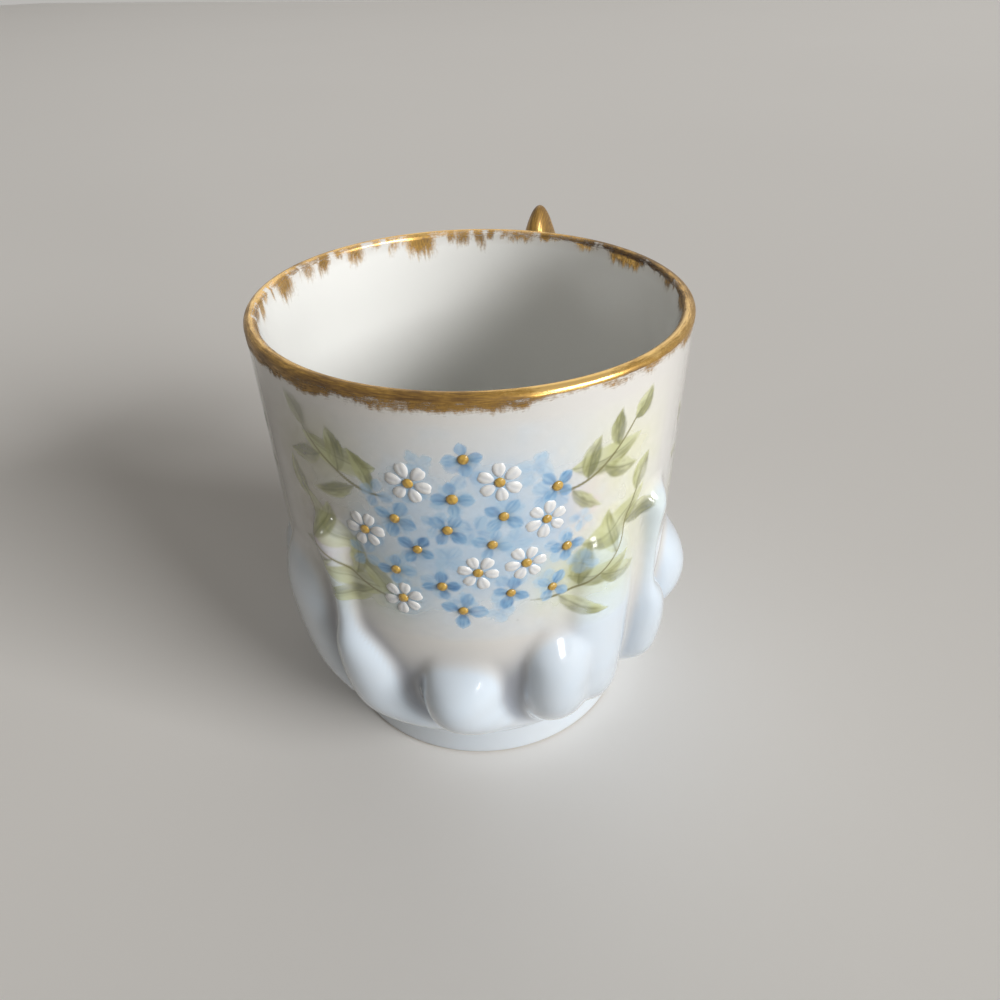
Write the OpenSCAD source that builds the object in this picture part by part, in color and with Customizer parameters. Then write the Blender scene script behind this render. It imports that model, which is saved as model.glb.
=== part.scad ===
// Straight-sided porcelain cup with a swirled relief base, a ring handle with a thumb spur,
// a gilded lip and a posy in raised enamel. Millimetres, +Z up, the foot rests on Z = 0
// and the handle points along +X.

/* [Cup] */
// Outside diameter of the straight wall
rim_d = 66; // [58:0.5:76]
// Height of the lip above the table
cup_h = 75; // [70:0.5:88]
// Thickness of the wall
wall_t = 2.6; // [2.2:0.1:3.2]
// Thickness of the rounded lip
lip_t = 1.8; // [1.4:0.1:2.2]
// Height over which the wall thins to the lip
lip_taper_h = 14; // [8:0.5:18]
// Thickness of the floor
floor_t = 3.2; // [2.6:0.1:4.5]
// Radius inside, between wall and floor
bowl_r = 8; // [5:0.5:10]

/* [Foot] */
// Outside diameter of the foot
foot_d = 55.6; // [50:0.2:58]
// Height of the plain foot band
foot_h = 6; // [5:0.1:8]
// Width of the flat ring that the cup rests on
foot_ring_w = 3; // [2:0.1:5]
// Depth of the recess under the floor
foot_recess = 3.4; // [2:0.1:4]
// Bevel on the foot's lower edge
foot_bevel = 0.5; // [0.2:0.1:1]

/* [Swirled relief] */
// Height of the relief above the foot
relief_h = 48; // [40:0.5:54]
// Height above the foot at which the grooves reach the straight wall
groove_h = 30; // [24:0.5:36]
// How often the group of lobes repeats
panels = 2; // [1:1:3]
// Turn of the relief from the handle, in degrees
relief_turn = 17.6; // [0:0.1:90]
// Swell of the broad lobe in front
lobe_swell = 5.2; // [2:0.1:6]

/* [Handle] */
// Depth of the upper root's middle below the lip
root_drop = 12.5; // [9:0.5:16]
// Height of the lower root's middle
root_low_z = 38.5; // [34:0.5:46]
// Reach of the spine from the wall
handle_reach = 21.5; // [17:0.5:28]
// Rise of the handle's bow above the upper root
bow_rise = 6.6; // [3:0.1:9]
// Width across the handle
handle_w = 6.2; // [4.6:0.1:8]
// Thickness of the handle
handle_t = 4.8; // [3.6:0.1:6]
// Extra width and thickness at the roots
root_flare = 2.4; // [0.6:0.1:3.4]
// Rise of the thumb spur above the bow
spur_h = 5.6; // [2:0.1:8]
// Length of the spur along the handle
spur_l = 5.2; // [3:0.1:9]
// Thickness of the slip that joins the handle to the wall
slip_t = 0.6; // [0.3:0.05:1]
// How far the slip bead stands out round a root
slip_bead = 0.5; // [0.2:0.05:1]

/* [Gilding] */
// Thickness of the gilding, drawn thicker than the fired film
gilding_t = 0.1; // [0.05:0.01:0.2]
// Depth of the gilding below the lip, outside
gilding_out_h = 2; // [1.2:0.1:4]
// Depth of the gilding below the lip, inside
gilding_in_h = 2.6; // [1.2:0.1:6]
// Share of the handle's girth that is gilded
gilding_girth = 0.5; // [0.2:0.05:0.8]

/* [Enamel posy] */
// Turn of the posy's middle from the handle, in degrees
posy_turn = -162; // [-200:1:-120]
// Depth of the posy's middle below the lip
posy_drop = 22; // [19:0.5:26]
// Half the posy's width, along the wall
posy_half_w = 16.5; // [12:0.5:18]
// Half the posy's height
posy_half_h = 14; // [11:0.5:16]
// Flowers in the posy
flower_count = 21; // [12:3:24]
// Diameter of a white blossom
blossom_d = 6.2; // [4:0.1:7]
// Petals of a white blossom
petal_count = 6; // [5:1:8]
// Width of a petal
petal_w = 1.7; // [1:0.1:2.4]
// Diameter of a flower's centre
centre_d = 1.5; // [0.8:0.1:2.2]
// How far the white petals stand out
petal_rise = 0.25; // [0.1:0.05:0.6]
// How far the flower centres stand out
centre_rise = 0.4; // [0.2:0.05:0.8]

/* [Hidden] */
$fn = 96;

rim_r = rim_d / 2;
foot_r = foot_d / 2;
lip_r = lip_t / 2;
floor_z = foot_recess + floor_t;
relief_top = foot_h + relief_h;
root_top_z = cup_h - root_drop;
posy_z = cup_h - posy_drop;

// Rows and columns of the relief's surface
relief_cols = 168;
relief_rows = 21;
inner_rows = 5;
// Step that keeps the relief's flat facets inside the round wall
seam = 0.02;
// Depth that the relief's ends run into the plain wall and the foot
seam_depth = 0.5;

// Turn of the whole relief at heights above the foot: the grooves sweep round towards the foot
swirl = [[-0.5, 18], [4, 9.5], [10, 2.5], [17, 0], [48, 0]];
// Lobes on a quarter of the wall, from left to right: each row gives the height above the foot,
// the left edge and the right edge in degrees, and the swell as a share of the broad lobe's
ridge_lobe = [[-0.5, -42, -24, 0], [4, -41.5, -23, 0.42], [10, -41, -21.5, 0.8], [16, -41, -20.5, 0.82],
              [21, -41, -22.5, 0.72], [25, -40.5, -26.5, 0.6], [28, -39.5, -31, 0.42],
              [34, -39.5, -32.5, 0.34], [40, -41, -32.5, 0.4], [45, -42.5, -31.5, 0.44],
              [48, -41, -33, 0]];
broad_lobe = [[0.5, -18, 3, 0], [4, -17.5, 4.5, 0.34], [7.5, -17, 6.5, 0.7], [11, -17, 7.5, 0.95],
              [14, -16.5, 7.5, 1], [17, -16, 7.5, 0.93], [19.5, -15, 7, 0.7], [22, -14, 6, 0.3],
              [24, -12.5, 4.5, 0.08], [26, -11, 3, 0]];
egg_lobe = [[-0.5, 7, 29, 0], [4, 8.5, 32, 0.4], [8, 10.5, 34.5, 0.7], [12, 12, 35.5, 0.83],
            [16, 12.5, 35.5, 0.83], [20, 13, 35.5, 0.73], [23.5, 13.5, 35, 0.53], [26.5, 15, 34, 0.3],
            [29.5, 17, 32.5, 0.12], [33, 19, 30, 0]];
tall_lobe = [[-0.5, 24, 45, 0], [4, 25, 45.5, 0.42], [10, 26, 48, 0.62], [16, 26, 48.5, 0.55],
             [24, 25, 48, 0.38], [30, 25, 48, 0.28], [36, 26, 47, 0.23], [40, 25, 44, 0.27],
             [43, 26, 42, 0.26], [46, 31, 38, 0]];
// Lobes that differ in the two quarters at the sides
side_broad_lobe = [[0.5, -20, 4, 0], [4, -19.5, 6, 0.34], [8, -19, 8, 0.72], [12, -19, 9, 0.98],
                   [16, -19, 9.5, 1.1], [20, -18.5, 9, 1.04], [24, -17.5, 8, 0.74],
                   [27, -16, 6.5, 0.34], [29.5, -14, 4.5, 0.08], [32, -11, 1, 0]];
side_egg_lobe = [[-0.5, 7, 29, 0], [4, 8.5, 32, 0.35], [10, 11, 35, 0.58], [16, 12, 35.5, 0.6],
                 [22, 13, 35, 0.5], [26, 15, 34, 0.32], [30, 18, 32, 0.1], [33, 20, 30, 0]];
side_tall_lobe = [[-0.5, 24, 45, 0], [4, 25, 45.5, 0.42], [10, 26, 47, 0.6], [16, 25, 48, 0.6],
                  [22, 24, 48, 0.58], [28, 23, 48, 0.56], [32, 24, 47, 0.44], [35, 26, 46, 0.2],
                  [37.5, 30, 43, 0]];
quarter = 90;
function turned(p) = [for (r = p) [r[0], r[1] + quarter, r[2] + quarter, r[3]]];
lobes = concat(
    [ridge_lobe, broad_lobe, egg_lobe, tall_lobe],
    [for (p = [ridge_lobe, side_broad_lobe, side_egg_lobe, side_tall_lobe]) turned(p)]
);
// Angle and height that one group of lobes is drawn for
drawn_panel = 2 * quarter;
drawn_h = 48;
// Place of a lobe's crest between its edges, and how sharp its left and right flanks are
crest_at = 0.4;
left_flank = 0.6;
right_flank = 1;
// How strongly the grooves draw in towards the foot
groove_bend = 2.2;

// Handle spine, as shares of the reach and of the height between the roots
spine = [[-0.12, 0.98], [0.1, 1.09], [0.36, 1.25], [0.66, 1.2], [0.91, 0.98], [1, 0.68],
         [0.88, 0.36], [0.6, 0.12], [0.28, 0.03], [-0.12, -0.02]];
bow_share = 0.25;
spine_steps = 7;
ring_sides = 16;
// Ring of the spine under the spur, and the rings at which the roots have run out
spur_ring = 15;
flare_rings = 14;

ellipse_sides = 36;
lip_steps = 12;
bowl_steps = 8;
golden_turn = 137.508;
// First white blossom, how many flowers on the next one follows, and the turn from one flower to the next
first_white = 2;
white_step = 3;
blossom_twist = 25;

function wrap(a, period) = a - period * floor(a / period + 0.5);

// Slope and value of a smooth curve through the rows of a table, in column c
function slope(p, c, i) =
    let (a = max(i - 1, 0), b = min(i + 1, len(p) - 1))
    (p[b][c] - p[a][c]) / (p[b][0] - p[a][0]);
function along(p, c, x0) =
    let (
        last = len(p) - 1,
        x = min(max(x0, p[0][0]), p[last][0]),
        i = min(last - 1, max([for (k = [0:last]) if (x >= p[k][0]) k])),
        w = p[i + 1][0] - p[i][0],
        t = (x - p[i][0]) / w
    )
    (2 * t ^ 3 - 3 * t ^ 2 + 1) * p[i][c] + (t ^ 3 - 2 * t ^ 2 + t) * w * slope(p, c, i)
    + (3 * t ^ 2 - 2 * t ^ 3) * p[i + 1][c] + (t ^ 3 - t ^ 2) * w * slope(p, c, i + 1);

// Radius of the wall in the bottom of the grooves
function groove_r(z) =
    let (t = min(max((foot_h + groove_h - z) / groove_h, 0), 1))
    rim_r - (rim_r - foot_r) * t ^ groove_bend;

function flank(x, sharp) = max(0, 1 - x ^ 2) ^ sharp;

// Left edge, right edge and swell of every lobe at a height above the foot
function lobe_row(h) =
    let (d = h * drawn_h / relief_h)
    [for (p = lobes) [along(p, 1, d), along(p, 2, d), max(0, along(p, 3, d))]];
function lobe_rise(a, row) = lobe_swell * max([for (l = row)
    let (
        crest = l[0] + crest_at * (l[1] - l[0]),
        d = wrap(a - crest, drawn_panel)
    )
    l[2] * (d < 0 ? flank(min(1, -d / (crest - l[0])), left_flank)
                  : flank(min(1, d / (l[1] - crest)), right_flank))]);

// Closed loops of points swept into one skin, ring after ring
function ring_faces(rings, sides, closed) = [
    for (i = [0:rings - (closed ? 1 : 2)]) for (j = [0:sides - 1])
        let (
            a = i * sides + j,
            b = ((i + 1) % rings) * sides + j,
            a2 = i * sides + (j + 1) % sides,
            b2 = ((i + 1) % rings) * sides + (j + 1) % sides
        )
        each [[a, a2, b2], [a, b2, b]]
];
function end_faces(rings, sides) = [
    [for (j = [0:sides - 1]) sides - 1 - j],
    [for (j = [0:sides - 1]) (rings - 1) * sides + j]
];

// Ends of a strip whose section runs out along one side and back along the other
function strip_ends(rings, half) = [
    for (k = [0:half - 1])
        let (n = 2 * half + 1, top = (rings - 1) * (n + 1))
        each [
            [k + 1, k, n - k], [k + 1, n - k, n - k - 1],
            [top + k, top + k + 1, top + n - k], [top + k + 1, top + n - k - 1, top + n - k]
        ]
];

// Relief band: lobed outside, plain inside the wall
module relief_band() {
    rows = [for (j = [0:relief_rows - 1]) seam + (relief_h - seam) * j / (relief_rows - 1)];
    tables = [for (h = rows) lobe_row(h)];
    inner_d = wall_t * 2 / 3;
    function outside(a, j) = groove_r(foot_h + rows[j]) - seam + lobe_rise(a, tables[j]);
    function loop(a) = concat(
        [[foot_r - 2 * seam_depth, foot_h - seam_depth]],
        [for (j = [0:relief_rows - 1]) [outside(a, j), foot_h + rows[j]]],
        [[rim_r - seam_depth, relief_top + seam_depth]],
        [for (j = [inner_rows:-1:0])
            let (z = foot_h - seam_depth + (relief_h + 2 * seam_depth) * j / inner_rows)
            [groove_r(z) - inner_d, z]]
    );
    panel = 360 / panels;
    turns = [for (i = [0:relief_cols - 1]) i * 360 / relief_cols];
    loops = [for (t = turns) loop(wrap(t, panel) * drawn_panel / panel)];
    function swirled(z) = along(swirl, 1, (z - foot_h) * drawn_h / relief_h) * panel / drawn_panel;
    points = [for (i = [0:relief_cols - 1]) for (p = loops[i])
        let (t = turns[i] + relief_turn + swirled(p[1]))
        [p[0] * cos(t), p[0] * sin(t), p[1]]];
    polyhedron(points, ring_faces(relief_cols, len(loops[0]), true));
}

// Lip, from the outside over the top to the inside, offset outwards by grow
function lip_line(grow, out_h, in_h) = concat(
    [[rim_r + grow, cup_h - out_h]],
    [for (i = [0:lip_steps])
        let (a = 180 * i / lip_steps)
        [rim_r - lip_r + (lip_r + grow) * cos(a), cup_h - lip_r + (lip_r + grow) * sin(a)]],
    [[inside_r(cup_h - in_h) - grow, cup_h - in_h]]
);
// Inside radius of the wall, which thins to the lip and follows the grooves lower down
function inside_r(z) =
    let (t = min(max((z - (cup_h - lip_taper_h)) / (lip_taper_h - lip_r), 0), 1))
    groove_r(z) - wall_t + (wall_t - lip_t) * t;

module cup_body() {
    core_d = wall_t / 3;
    ring_in = foot_r - foot_ring_w;
    bowl_z = floor_z + bowl_r;
    bowl_x = inside_r(bowl_z) - bowl_r;
    wall_line = [for (j = [0:relief_rows - 1])
        let (z = foot_h + relief_h * j / (relief_rows - 1))
        [groove_r(z) - core_d, z]];
    inside_line = [for (j = [0:relief_rows - 1])
        let (z = cup_h - lip_taper_h + (bowl_z - cup_h + lip_taper_h) * j / (relief_rows - 1))
        [inside_r(z), z]];
    bowl_line = [for (i = [1:bowl_steps])
        let (a = 90 * i / bowl_steps)
        [bowl_x + bowl_r * cos(a), bowl_z - bowl_r * sin(a)]];
    color("ghostwhite") union() {
        rotate_extrude() polygon(concat(
            [[ring_in, 0], [foot_r - foot_bevel, 0], [foot_r, foot_bevel], [foot_r, foot_h]],
            wall_line,
            [[rim_r, relief_top]],
            lip_line(0, lip_r, lip_r),
            inside_line,
            bowl_line,
            [[0, floor_z], [0, foot_recess], [ring_in - foot_recess / 2, foot_recess]]
        ));
        relief_band();
    }
}

// Points of the handle's spine, closely spaced, in the XZ plane
root_gap = root_top_z - root_low_z;
function spine_height(s) =
    root_low_z + s * root_gap + max(0, s - 1) / bow_share * (bow_rise - bow_share * root_gap);
knots = [for (s = spine) [rim_r + handle_reach * s[0], spine_height(s[1])]];
function knot(i) = knots[min(max(i, 0), len(knots) - 1)];
function between(p0, p1, p2, p3, t) =
    (2 * p1 + (p2 - p0) * t + (2 * p0 - 5 * p1 + 4 * p2 - p3) * t ^ 2
     + (3 * p1 - p0 - 3 * p2 + p3) * t ^ 3) / 2;
spine_line = concat(
    [for (i = [0:len(knots) - 2]) for (k = [0:spine_steps - 1])
        between(knot(i - 1), knot(i), knot(i + 1), knot(i + 2), k / spine_steps)],
    [knot(len(knots) - 1)]
);
ring_count = len(spine_line);
function unit(v) = v / norm(v);
function spine_out(i) =
    let (d = unit(spine_line[min(i + 1, ring_count - 1)] - spine_line[max(i - 1, 0)]))
    [-d[1], d[0]];

// Section of the handle at ring i: point at angle a round it, offset outwards by grow
function flare(i) =
    let (k = max(0, 1 - min(i, ring_count - 1 - i) / flare_rings))
    root_flare / 2 * k ^ 2;
function spur(i) = spur_h * exp(-(norm(spine_line[i] - spine_line[spur_ring]) / (spur_l / 2)) ^ 2);
function section(i, a, grow) =
    let (
        across = (handle_w / 2 + flare(i) + grow) * cos(a),
        out = (handle_t / 2 + flare(i) + grow) * sin(a) + spur(i) * max(0, sin(a)) ^ 2,
        p = spine_line[i] + out * spine_out(i)
    )
    [p[0], across, p[1]];

module wall_cylinder(r) {
    translate([0, 0, foot_h]) cylinder(h = 2 * cup_h, r = r);
}

module handle() {
    points = [for (i = [0:ring_count - 1]) for (j = [0:ring_sides - 1])
        section(i, 360 * j / ring_sides, 0)];
    color("ghostwhite") difference() {
        polyhedron(points, concat(
            ring_faces(ring_count, ring_sides, false),
            end_faces(ring_count, ring_sides)
        ));
        wall_cylinder(rim_r + slip_t);
    }
}

// Bead of slip between a root of the handle and the wall
module handle_slip(z) {
    half_w = handle_w / 2 + root_flare / 2 + slip_bead;
    half_h = handle_t / 2 + root_flare / 2 + slip_bead;
    color("whitesmoke") intersection() {
        translate([0, 0, z]) rotate([90, 0, 90]) linear_extrude(2 * rim_r)
            polygon([for (i = [0:ellipse_sides - 1])
                let (a = 360 * i / ellipse_sides)
                [half_w * cos(a), half_h * sin(a)]]);
        difference() {
            wall_cylinder(rim_r + slip_t);
            wall_cylinder(rim_r);
        }
    }
}

module upper_handle_slip() {
    handle_slip(root_top_z);
}

module lower_handle_slip() {
    handle_slip(root_low_z);
}

module rim_gilding() {
    inside = lip_line(0, gilding_out_h, gilding_in_h);
    outside = lip_line(gilding_t, gilding_out_h, gilding_in_h);
    last = len(inside) - 1;
    color("goldenrod") rotate_extrude()
        polygon(concat(outside, [for (i = [0:last]) inside[last - i]]));
}

// Gilded strip over the outer side of the handle and its spur
module handle_gilding() {
    first = flare_rings / 2;
    strip_rings = ring_count - 2 * first;
    half_sides = ring_sides / 2;
    span = 360 * gilding_girth;
    function edge(k) = 90 - span / 2 + span * k / half_sides;
    points = [for (i = [first:first + strip_rings - 1]) each concat(
        [for (k = [0:half_sides]) section(i, edge(k), gilding_t)],
        [for (k = [half_sides:-1:0]) section(i, edge(k), 0)]
    )];
    sides = 2 * (half_sides + 1);
    color("goldenrod")
        polyhedron(points, concat(
            ring_faces(strip_rings, sides, false),
            strip_ends(strip_rings, half_sides)
        ));
}

// Flowers fill an oval from its middle outwards, and every third one is a white blossom
function flower_at(i) =
    let (
        share = sqrt((i + 0.5) / flower_count),
        turn = i * golden_turn,
        round_wall = posy_half_w * share * cos(turn) / rim_r * 180 / PI
    )
    [posy_turn + round_wall, posy_z + posy_half_h * share * sin(turn)];
whites = [for (i = [first_white:white_step:flower_count - 1]) i];

// Puts a flat shape on the wall at flower i and cuts it to a shell of the wall
module on_wall(i, rise) {
    intersection() {
        rotate([0, 0, flower_at(i)[0]]) translate([0, 0, flower_at(i)[1]]) rotate([90, 0, 90])
            linear_extrude(rim_r + 2 * rise) children();
        difference() {
            wall_cylinder(rim_r + rise);
            wall_cylinder(rim_r);
        }
    }
}

module petal() {
    petal_l = (blossom_d - centre_d) / 2;
    translate([(blossom_d - petal_l) / 2, 0]) polygon([for (k = [0:ellipse_sides / 2 - 1])
        let (a = 720 * k / ellipse_sides)
        [petal_l / 2 * cos(a), petal_w / 2 * sin(a)]]);
}

module white_enamel_petals() {
    color("white") for (i = whites) on_wall(i, petal_rise)
        for (k = [0:petal_count - 1]) rotate(360 * k / petal_count + blossom_twist * i) petal();
}

module yellow_enamel_centres() {
    color("gold") for (i = [0:flower_count - 1]) on_wall(i, centre_rise) circle(d = centre_d);
}

cup_body();
handle();
upper_handle_slip();
lower_handle_slip();
rim_gilding();
handle_gilding();
white_enamel_petals();
yellow_enamel_centres();
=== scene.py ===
import math

import bpy
import numpy as np
from mathutils import Matrix, Vector


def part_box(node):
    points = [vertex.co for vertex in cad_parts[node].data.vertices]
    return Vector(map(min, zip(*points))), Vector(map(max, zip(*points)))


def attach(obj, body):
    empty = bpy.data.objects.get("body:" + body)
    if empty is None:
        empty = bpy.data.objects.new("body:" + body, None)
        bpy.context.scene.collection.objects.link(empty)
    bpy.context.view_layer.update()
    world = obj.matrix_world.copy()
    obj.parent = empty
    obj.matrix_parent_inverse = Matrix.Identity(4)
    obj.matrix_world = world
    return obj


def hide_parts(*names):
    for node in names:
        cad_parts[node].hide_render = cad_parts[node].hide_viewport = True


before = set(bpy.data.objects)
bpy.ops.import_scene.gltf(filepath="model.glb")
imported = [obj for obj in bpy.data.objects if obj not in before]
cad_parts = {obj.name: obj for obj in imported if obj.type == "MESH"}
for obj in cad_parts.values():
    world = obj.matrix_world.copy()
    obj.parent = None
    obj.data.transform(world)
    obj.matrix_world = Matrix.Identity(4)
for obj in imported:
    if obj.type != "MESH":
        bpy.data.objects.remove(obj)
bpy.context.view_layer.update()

mm = 0.001

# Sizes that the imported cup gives
goldFilm = 0.1 * mm  # thickness that the gilding is packed with
lipLow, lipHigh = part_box("rim_gilding")
rimR = (lipHigh.x - lipLow.x) / 2 - goldFilm
cupH = lipHigh.z - goldFilm
rootTopZ = sum(corner.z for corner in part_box("upper_handle_slip")) / 2
rootLowZ = sum(corner.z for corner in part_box("lower_handle_slip")) / 2


# Camera
cameraSet = {
    "place": Vector((-99.46, -35.59, 113.70)) * mm,
    "aim": Vector((1.163, -3.666, 36.077)) * mm,
    "roll": math.radians(1.056),
    "lens": 25.92,
    "sensor": 36,
    "nearest": 5 * mm,
}


def addCamera(size):
    toward = (size["aim"] - size["place"]).normalized()
    level = toward.cross(Vector((0, 0, 1))).normalized()
    rise = level.cross(toward)
    turn = size["roll"]
    right = level * math.cos(turn) - rise * math.sin(turn)
    up = level * math.sin(turn) + rise * math.cos(turn)
    bpy.ops.object.camera_add()
    camera = bpy.context.object
    camera.name = "photoCamera"
    turned = Matrix((right, up, -toward)).transposed().to_4x4()
    camera.matrix_world = Matrix.Translation(size["place"]) @ turned
    camera.data.sensor_width = size["sensor"]
    camera.data.lens = size["lens"]
    camera.data.clip_start = size["nearest"]
    bpy.context.scene.camera = camera


addCamera(cameraSet)
bpy.context.scene.view_settings.view_transform = "Standard"
print("camera set")


# Relief of the wall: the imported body's lobes on a fine grid, softened by the glaze and blunter on top
relief = {
    "footH": 6 * mm,
    "footR": 27.8 * mm,
    "height": 48,  # of the lobes, in the millimetres of the tables
    "grooveH": 30 * mm,
    "grooveBend": 2.2,
    "turn": 17.6,
    "quarter": 90,
    "panel": 180,
    "swell": 5.18 * mm,
    "crest": 0.4,
    "leftFlank": 0.6,
    "rightFlank": 1.0,
    "soft": 0.6,  # spread of the glaze over an edge, in millimetres
    "hollow": 3.2,  # width of the dips in which the glaze pools and shade is painted
    # height above the foot, turn of the whole relief there
    "swirl": [[-0.5, 18], [4, 9.5], [10, 2.5], [17, 0], [48, 0]],
    # the lobes of a quarter, from left to right, and those that differ in the quarters at the sides:
    # height above the foot, left edge, right edge, share of the swell
    "ridge": [[-0.5, -42, -24, 0], [4, -41.5, -23, 0.42], [10, -41, -21.5, 0.8], [16, -41, -20.5, 0.82],
              [21, -41, -22.5, 0.76], [24.5, -40.5, -26, 0.66], [28, -39.5, -31, 0.4],
              [34, -39.5, -32.5, 0.34], [40, -41, -32.5, 0.4], [45, -42.5, -31.5, 0.44],
              [48, -41, -33, 0]],
    "broad": [[0.5, -18, 3, 0], [4, -17.5, 4.5, 0.34], [7.5, -17, 6.5, 0.7], [11, -17, 7.5, 0.95],
              [14, -16.5, 7.5, 1], [17, -16, 7.5, 0.93], [19.5, -15, 7, 0.7], [22, -14, 6, 0.3],
              [24, -12.5, 4.5, 0.08], [26, -11, 3, 0]],
    "egg": [[-0.5, 7, 29, 0], [4, 8.5, 32, 0.4], [8, 10.5, 34.5, 0.7], [12, 12, 35.5, 0.83],
            [16, 12.5, 35.5, 0.83], [20, 13, 35.5, 0.76], [23.5, 13.5, 35, 0.6], [26, 15, 34, 0.34],
            [28, 17, 32.5, 0.12], [30, 18, 31, 0.03], [33, 19, 30, 0]],
    "tall": [[-0.5, 24, 45, 0], [4, 25, 45.5, 0.42], [10, 26, 48, 0.62], [16, 26, 48.5, 0.55],
             [24, 25, 48, 0.38], [30, 25, 48, 0.28], [36, 26, 47, 0.24], [40, 25, 44, 0.29],
             [43, 26, 42, 0.28], [45, 29, 40, 0.1], [46.5, 31, 38, 0]],
    "sideBroad": [[0.5, -20, 4, 0], [4, -19.5, 6, 0.34], [8, -19, 8, 0.72], [12, -19, 9, 0.98],
                  [16, -19, 9.5, 1.1], [20, -18.5, 9, 1.04], [24, -17.5, 8, 0.74], [27, -16, 6.5, 0.34],
                  [29.5, -14, 4.5, 0.08], [32, -11, 1, 0]],
    "sideEgg": [[-0.5, 7, 29, 0], [4, 8.5, 32, 0.35], [10, 11, 35, 0.58], [16, 12, 35.5, 0.6],
                [22, 13, 35, 0.5], [26, 15, 34, 0.32], [30, 18, 32, 0.1], [33, 20, 30, 0]],
    "sideTall": [[-0.5, 24, 45, 0], [4, 25, 45.5, 0.42], [10, 26, 47, 0.6], [16, 25, 48, 0.6],
                 [22, 24, 48, 0.58], [28, 23, 48, 0.56], [32, 24, 47, 0.44], [35, 26, 46, 0.2],
                 [37.5, 30, 43, 0]],
    "labelStep": 0.25,
    "heightStep": 0.25,
}


def wrapped(angle, period):
    return angle - period * np.floor(angle / period + 0.5)


def smooth(x):
    t = np.clip(x, 0, 1)
    return t * t * (3 - 2 * t)


# Smooth curve through the rows of a table, in one of its columns
def alongRows(rows, column, x):
    xs = np.array([row[0] for row in rows], float)
    ys = np.array([row[column] for row in rows], float)
    before = np.maximum(np.arange(len(xs)) - 1, 0)
    after = np.minimum(np.arange(len(xs)) + 1, len(xs) - 1)
    slope = (ys[after] - ys[before]) / (xs[after] - xs[before])
    x = np.clip(x, xs[0], xs[-1])
    i = np.clip(np.searchsorted(xs, x, side="right") - 1, 0, len(xs) - 2)
    w = xs[i + 1] - xs[i]
    t = (x - xs[i]) / w
    start = (2 * t**3 - 3 * t**2 + 1) * ys[i] + (t**3 - 2 * t**2 + t) * w * slope[i]
    return start + (3 * t**2 - 2 * t**3) * ys[i + 1] + (t**3 - t**2) * w * slope[i + 1]


def grooveRadius(z):
    t = np.clip((relief["footH"] + relief["grooveH"] - z) / relief["grooveH"], 0, 1)
    return rimR - (rimR - relief["footR"]) * t ** relief["grooveBend"]


# Blurs a field of heights down its rows and of labels round its columns, which join up
def softened(field, rowSpread, columnSpread):
    for axis, spread in ((0, rowSpread), (1, columnSpread)):
        reach = int(math.ceil(3 * spread))
        weights = np.exp(-0.5 * (np.arange(-reach, reach + 1) / spread) ** 2)
        weights /= weights.sum()
        padding = [(0, 0), (0, 0)]
        padding[axis] = (reach, reach)
        wide = np.pad(field, padding, mode="edge" if axis == 0 else "wrap")
        count = field.shape[axis]
        shifts = [np.take(wide, range(k, k + count), axis) for k in range(2 * reach + 1)]
        field = sum(weight * shift for weight, shift in zip(weights, shifts))
    return field


def reliefField():
    half = relief["panel"] / 2
    label = np.arange(-half, half, relief["labelStep"])
    height = np.arange(0, relief["height"] + relief["heightStep"], relief["heightStep"])
    field = np.zeros((len(height), len(label)))
    front = [(relief[name], 0) for name in ("ridge", "broad", "egg", "tall")]
    side = [(relief[name], relief["quarter"]) for name in ("ridge", "sideBroad", "sideEgg", "sideTall")]
    for lobe, turn in front + side:
        left = alongRows(lobe, 1, height)[:, None] + turn
        right = alongRows(lobe, 2, height)[:, None] + turn
        swell = np.maximum(alongRows(lobe, 3, height), 0)[:, None]
        crest = left + relief["crest"] * (right - left)
        d = wrapped(label[None, :] - crest, relief["panel"])
        leftSide = np.clip(1 - (d / (crest - left)) ** 2, 0, 1) ** relief["leftFlank"]
        rightSide = np.clip(1 - (d / (right - crest)) ** 2, 0, 1) ** relief["rightFlank"]
        field = np.maximum(field, swell * np.where(d < 0, leftSide, rightSide))
    degreeLength = math.radians(1) * rimR / mm
    rows = 1 / relief["heightStep"]
    columns = 1 / (relief["labelStep"] * degreeLength)
    soft = softened(field, relief["soft"] * rows, relief["soft"] * columns)
    wide = softened(soft, relief["hollow"] * rows, relief["hollow"] * columns)
    return relief["swell"] * soft, relief["swell"] * np.maximum(wide - soft, 0)


riseField, poolShadeField = reliefField()


# Value of a grid that repeats, at a share of the way to the next row and column
def between(grid, row, column, down, along):
    rows, columns = grid.shape
    r0, r1 = row % rows, (row + 1) % rows
    c0, c1 = column % columns, (column + 1) % columns
    low = grid[r0, c0] * (1 - along) + grid[r0, c1] * along
    high = grid[r1, c0] * (1 - along) + grid[r1, c1] * along
    return low * (1 - down) + high * down


def fieldAt(field, label, z):
    column = ((label + relief["panel"] / 2) % relief["panel"]) / relief["labelStep"]
    row = np.clip((z - relief["footH"]) / mm / relief["heightStep"], 0, field.shape[0] - 1.001)
    c0, r0 = np.floor(column).astype(int), np.floor(row).astype(int)
    return between(field, r0, c0, row - r0, column - c0)


def swirlAt(z):
    return alongRows(relief["swirl"], 1, (z - relief["footH"]) / mm)


# Outside radius of the finished wall at an angle in degrees
def wallRadius(angle, z):
    return grooveRadius(z) + fieldAt(riseField, angle - relief["turn"] - swirlAt(z), z)


def roundAxis(radius, angle, z):
    turn = np.radians(angle)
    return np.stack([radius * np.cos(turn), radius * np.sin(turn), z], axis=1)


print("relief worked out")


# Mesh steps shared by the pieces
weldGap = 0.001 * mm
patchCells = 64  # patchy values repeat after this many cells


def clearSelection():
    bpy.ops.object.select_all(action="DESELECT")


def pick(piece):
    clearSelection()
    piece.select_set(True)
    bpy.context.view_layer.objects.active = piece


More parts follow.
